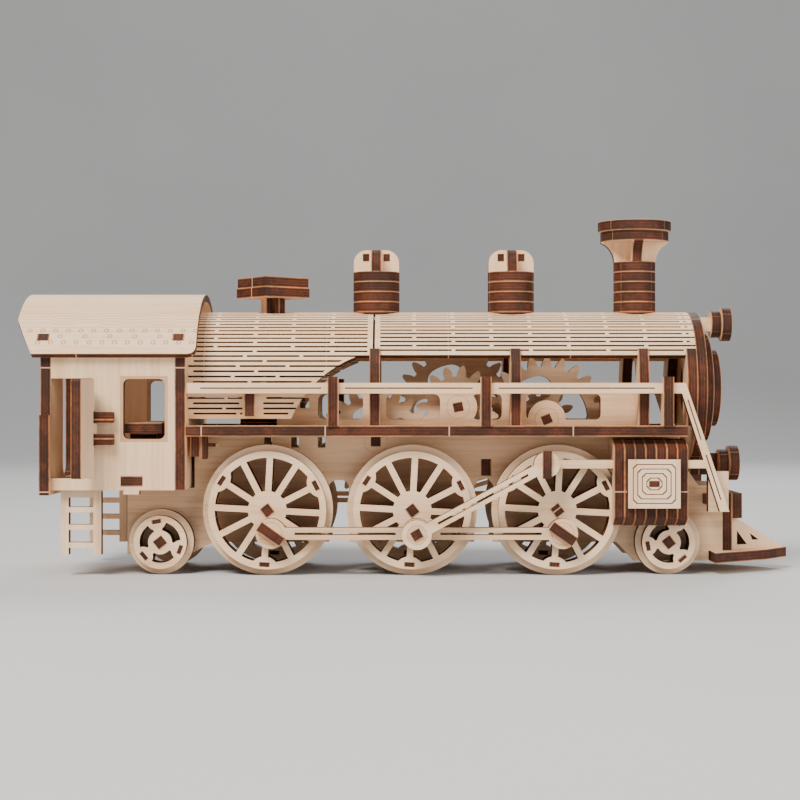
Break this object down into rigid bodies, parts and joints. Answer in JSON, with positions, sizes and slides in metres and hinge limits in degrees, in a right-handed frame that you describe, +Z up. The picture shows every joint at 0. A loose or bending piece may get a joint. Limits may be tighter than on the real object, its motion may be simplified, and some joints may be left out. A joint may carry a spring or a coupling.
{
  "type": "wooden 3d jigsaw model",
  "caption": "Laser-cut plywood steam locomotive puzzle with turning spoked wheels, coupled rods, gear train, hinged cab doors and a winding handle.",
  "frame": {"origin": "on the ground under the middle of the model's length and width", "axes": "+X to the front of the locomotive, +Y to its left side, +Z up"},
  "size_m": [0.3006, 0.1096, 0.1382],
  "materials": {
    "ply_wood": "bare laser-cut plywood",
    "ply_pale": "bare pale plywood face",
    "ply_charred": "laser-charred plywood edge"
  },
  "bodies": {
    "chassis": {"frame_right": "ply_wood", "frame_left": "ply_wood", "frame_stays": "ply_wood", "running_boards": "ply_wood", "handrails": "ply_pale", "rail_posts": "ply_wood", "cab_floor": "ply_wood", "cab_side_right": "ply_pale", "cab_side_left": "ply_pale", "cab_front_wall": "ply_wood", "cab_rear_wall": "ply_wood", "cab_roof": "ply_pale", "cab_bench": "ply_wood", "hinge_knuckles": "ply_charred", "ladders": "ply_wood", "boiler_formers": "ply_charred", "boiler_skin_rear": "ply_pale", "boiler_skin_front": "ply_pale", "smokebox_rings": "ply_charred", "smokebox_door": "ply_charred", "lamps": "ply_charred", "chimney_rings": "ply_charred", "chimney_flare": "ply_wood", "chimney_cap": "ply_charred", "dome_rings": "ply_charred", "dome_caps": "ply_pale", "cylinders": "ply_charred", "valve_plates": "ply_pale", "front_beam": "ply_charred", "pilot_base": "ply_wood", "pilot_sides": "ply_wood", "spring_barrel": "ply_wood"},
    "rear_drive_wheelset": {"rear_drive_axle": "ply_charred", "rear_drive_wheels": "ply_wood", "rear_crank_pins": "ply_wood"},
    "middle_drive_wheelset": {"middle_drive_axle": "ply_charred", "middle_drive_wheels": "ply_wood", "middle_crank_pins": "ply_wood"},
    "front_drive_wheelset": {"front_drive_axle": "ply_charred", "front_drive_wheels": "ply_wood", "front_crank_pins": "ply_wood", "drive_pinion": "ply_wood"},
    "leading_wheels": {"leading_wheelset": "ply_wood"},
    "trailing_wheels": {"trailing_wheelset": "ply_wood"},
    "coupling_right": {"coupling_rod_right": "ply_pale"},
    "coupling_left": {"coupling_rod_left": "ply_pale"},
    "connecting_right": {"connecting_rod_right": "ply_pale"},
    "connecting_left": {"connecting_rod_left": "ply_pale"},
    "piston_right": {"piston_rod_right": "ply_pale"},
    "piston_left": {"piston_rod_left": "ply_pale"},
    "gear_shaft_a": {"shaft_a": "ply_charred", "gear_a": "ply_wood"},
    "gear_shaft_b": {"shaft_b": "ply_charred", "gears_b": "ply_wood"},
    "gear_shaft_c": {"shaft_c": "ply_charred", "gears_c": "ply_wood"},
    "cab_door_right": {"door_right": "ply_pale"},
    "cab_door_left": {"door_left": "ply_pale"},
    "winder": {"winding_post": "ply_charred", "winding_handle": "ply_wood"}
  },
  "joints": [
    {"name": "drive_spin", "type": "hinge", "parent": "chassis", "child": "middle_drive_wheelset", "pos_m": [0.0006, 0, 0.025], "axis": [0, 1, 0], "continuous": true},
    {"name": "rear_drive_spin", "type": "hinge", "parent": "chassis", "child": "rear_drive_wheelset", "pos_m": [-0.0549, 0, 0.025], "axis": [0, 1, 0], "continuous": true},
    {"name": "front_drive_spin", "type": "hinge", "parent": "chassis", "child": "front_drive_wheelset", "pos_m": [0.0561, 0, 0.025], "axis": [0, 1, 0], "continuous": true},
    {"name": "leading_spin", "type": "hinge", "parent": "chassis", "child": "leading_wheels", "pos_m": [0.0992, 0, 0.0125], "axis": [0, 1, 0], "continuous": true},
    {"name": "trailing_spin", "type": "hinge", "parent": "chassis", "child": "trailing_wheels", "pos_m": [-0.0963, 0, 0.0125], "axis": [0, 1, 0], "continuous": true},
    {"name": "coupling_rod_right_pivot", "type": "hinge", "parent": "middle_drive_wheelset", "child": "coupling_right", "pos_m": [0.00228, -0.033, 0.01636], "axis": [0, 1, 0], "continuous": true},
    {"name": "coupling_rod_left_pivot", "type": "hinge", "parent": "middle_drive_wheelset", "child": "coupling_left", "pos_m": [0.00924, 0.033, 0.02668], "axis": [0, 1, 0], "continuous": true},
    {"name": "connecting_rod_right_pivot", "type": "hinge", "parent": "middle_drive_wheelset", "child": "connecting_right", "pos_m": [0.00228, -0.039, 0.01636], "axis": [0, 1, 0], "continuous": true},
    {"name": "connecting_rod_left_pivot", "type": "hinge", "parent": "middle_drive_wheelset", "child": "connecting_left", "pos_m": [0.00924, 0.039, 0.02668], "axis": [0, 1, 0], "continuous": true},
    {"name": "gear_a_spin", "type": "hinge", "parent": "chassis", "child": "gear_shaft_a", "pos_m": [-0.01355, 0, 0.05099], "axis": [0, 1, 0], "continuous": true},
    {"name": "gear_b_spin", "type": "hinge", "parent": "chassis", "child": "gear_shaft_b", "pos_m": [0.01854, 0, 0.06445], "axis": [0, 1, 0], "continuous": true},
    {"name": "gear_c_spin", "type": "hinge", "parent": "chassis", "child": "gear_shaft_c", "pos_m": [0.05301, 0, 0.05966], "axis": [0, 1, 0], "continuous": true},
    {"name": "piston_right_slide", "type": "slide", "parent": "chassis", "child": "piston_right", "axis": [1, 0, 0], "range_m": [-0.0067, 0.0105]},
    {"name": "piston_left_slide", "type": "slide", "parent": "chassis", "child": "piston_left", "axis": [1, 0, 0], "range_m": [-0.0175, 0]},
    {"name": "door_right_hinge", "type": "hinge", "parent": "chassis", "child": "cab_door_right", "pos_m": [-0.1205, -0.0392, 0.056], "axis": [0, 0, 1], "range_deg": [-78, 8]},
    {"name": "door_left_hinge", "type": "hinge", "parent": "chassis", "child": "cab_door_left", "pos_m": [-0.1205, 0.0392, 0.056], "axis": [0, 0, -1], "range_deg": [-78, 8]},
    {"name": "winding_spin", "type": "hinge", "parent": "chassis", "child": "winder", "pos_m": [-0.0549, 0, 0.11], "axis": [0, 0, 1], "continuous": true}
  ],
  "couplings": [
    {"joint": "rear_drive_spin", "follows": "drive_spin", "ratio": 1},
    {"joint": "front_drive_spin", "follows": "drive_spin", "ratio": 1},
    {"joint": "coupling_rod_right_pivot", "follows": "drive_spin", "ratio": -1},
    {"joint": "coupling_rod_left_pivot", "follows": "drive_spin", "ratio": -1},
    {"joint": "connecting_rod_right_pivot", "follows": "drive_spin", "ratio": -1},
    {"joint": "connecting_rod_left_pivot", "follows": "drive_spin", "ratio": -1},
    {"joint": "gear_c_spin", "follows": "drive_spin", "ratio": -0.5},
    {"joint": "gear_b_spin", "follows": "drive_spin", "ratio": 0.25},
    {"joint": "gear_a_spin", "follows": "drive_spin", "ratio": -0.17857}
  ]
}
